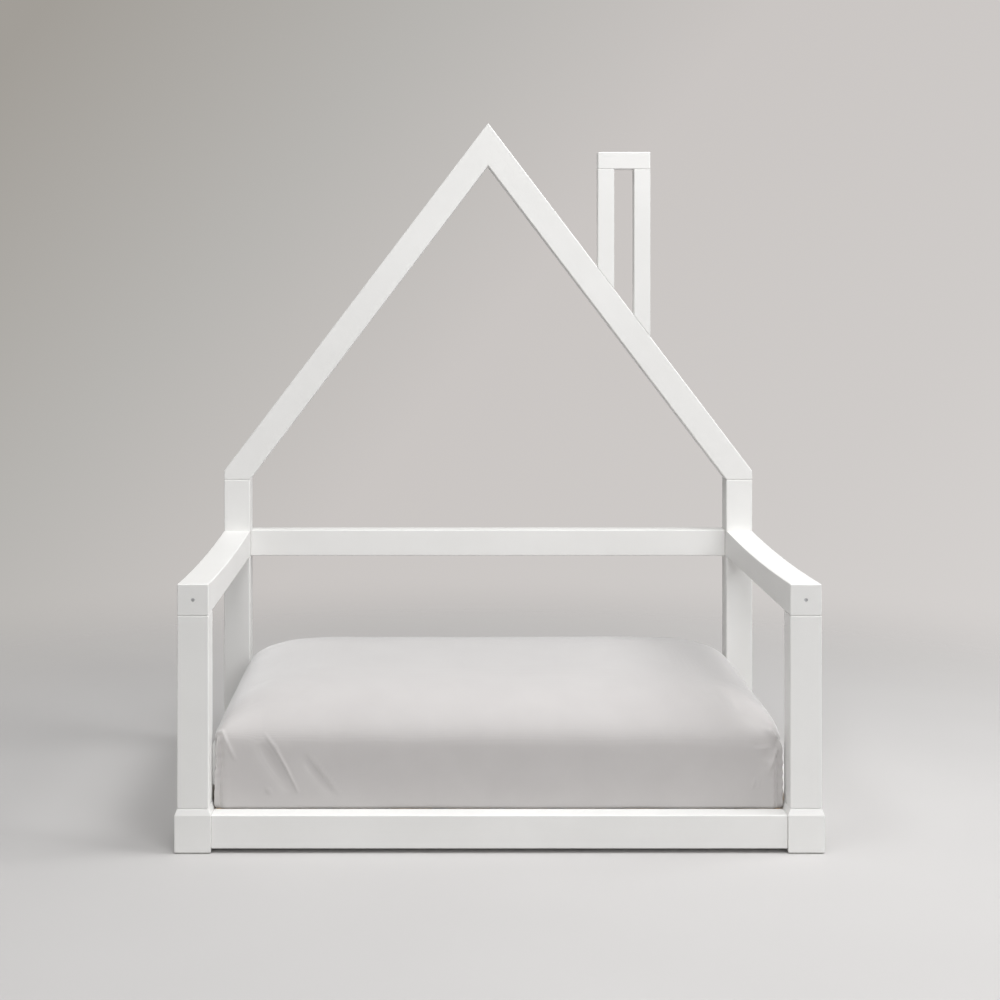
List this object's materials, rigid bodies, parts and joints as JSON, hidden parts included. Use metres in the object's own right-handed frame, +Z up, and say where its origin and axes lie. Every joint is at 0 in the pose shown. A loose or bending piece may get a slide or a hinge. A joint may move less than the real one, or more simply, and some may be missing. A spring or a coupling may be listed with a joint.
{
  "type": "house frame bed",
  "caption": "Low child's bed with square posts, side arms, a back guard rail and a gabled house outline with a chimney, holding a mattress in a fitted sheet.",
  "frame": {"origin": "on the floor, midway between the posts in both directions", "axes": "+X to the right and +Y to the back as the bed is seen from its open front, +Z up"},
  "size_m": [1.089, 0.7, 1.2859],
  "materials": {
    "painted_wood": "white satin paint over solid wood",
    "bare_wood": "planed, unpainted pine",
    "beech_dowel": "fluted beech, glued in",
    "zinc_steel": "bright zinc plated",
    "felt": "pressed felt",
    "mattress_ticking": "plain woven ticking",
    "sheet_cotton": "fine plain-weave cotton, stretched"
  },
  "bodies": {
    "bed_frame": {"front_left_pad": "felt", "front_right_pad": "felt", "back_left_pad": "felt", "back_right_pad": "felt", "front_left_foot": "painted_wood", "front_right_foot": "painted_wood", "back_left_foot": "painted_wood", "back_right_foot": "painted_wood", "front_left_post": "painted_wood", "front_right_post": "painted_wood", "back_left_post": "painted_wood", "back_right_post": "painted_wood", "front_base_rail": "painted_wood", "back_base_rail": "painted_wood", "left_base_rail": "painted_wood", "right_base_rail": "painted_wood", "left_arm": "painted_wood", "right_arm": "painted_wood", "back_guard_rail": "painted_wood", "left_rafter": "painted_wood", "right_rafter": "painted_wood", "chimney_inner_post": "painted_wood", "chimney_outer_post": "painted_wood", "chimney_cap": "painted_wood", "front_ledger": "bare_wood", "back_ledger": "bare_wood", "slat_01": "bare_wood", "slat_02": "bare_wood", "slat_03": "bare_wood", "slat_04": "bare_wood", "slat_05": "bare_wood", "slat_06": "bare_wood", "slat_07": "bare_wood", "slat_08": "bare_wood", "slat_09": "bare_wood", "slat_10": "bare_wood", "base_rail_dowels": "beech_dowel", "frame_dowels": "beech_dowel", "rafter_dowels": "beech_dowel", "ridge_dowels": "beech_dowel", "chimney_dowels": "beech_dowel", "base_cam_bolts": "zinc_steel", "base_cam_discs": "zinc_steel", "post_bolts": "zinc_steel", "post_inserts": "zinc_steel", "arm_pins": "zinc_steel", "arm_grub_screws": "zinc_steel", "frame_bolts": "zinc_steel", "frame_inserts": "zinc_steel", "rafter_studs": "zinc_steel", "rafter_barrel_nuts": "zinc_steel", "slat_screws": "zinc_steel", "ledger_screws": "zinc_steel"},
    "mattress": {"mattress": "mattress_ticking", "fitted_sheet": "sheet_cotton"}
  },
  "joints": [
    {"name": "mattress_lift", "type": "slide", "parent": "bed_frame", "child": "mattress", "axis": [0, -0.5, 0.866], "range_m": [0, 0.5]}
  ]
}
